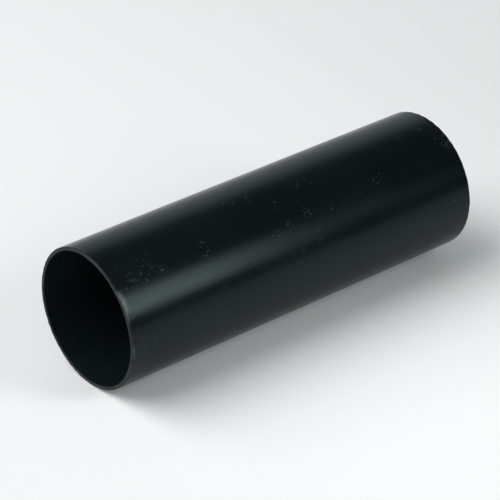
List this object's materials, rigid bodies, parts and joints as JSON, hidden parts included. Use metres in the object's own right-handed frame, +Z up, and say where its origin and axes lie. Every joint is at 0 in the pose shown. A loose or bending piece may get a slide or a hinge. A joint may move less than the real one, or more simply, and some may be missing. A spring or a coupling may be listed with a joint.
{
  "type": "downpipe",
  "caption": "Short cut length of round black plastic rainwater downpipe, plain thin wall, open at both square-sawn ends.",
  "frame": {"origin": "on the floor under the middle of the pipe, which lies on its side; the pipe's axis is 34 mm up", "axes": "+X along the pipe's axis, +Y across it, +Z up"},
  "size_m": [0.204, 0.068, 0.068],
  "materials": {
    "black_pvc": "satin"
  },
  "bodies": {
    "root": {"downpipe": "black_pvc"}
  },
  "joints": []
}
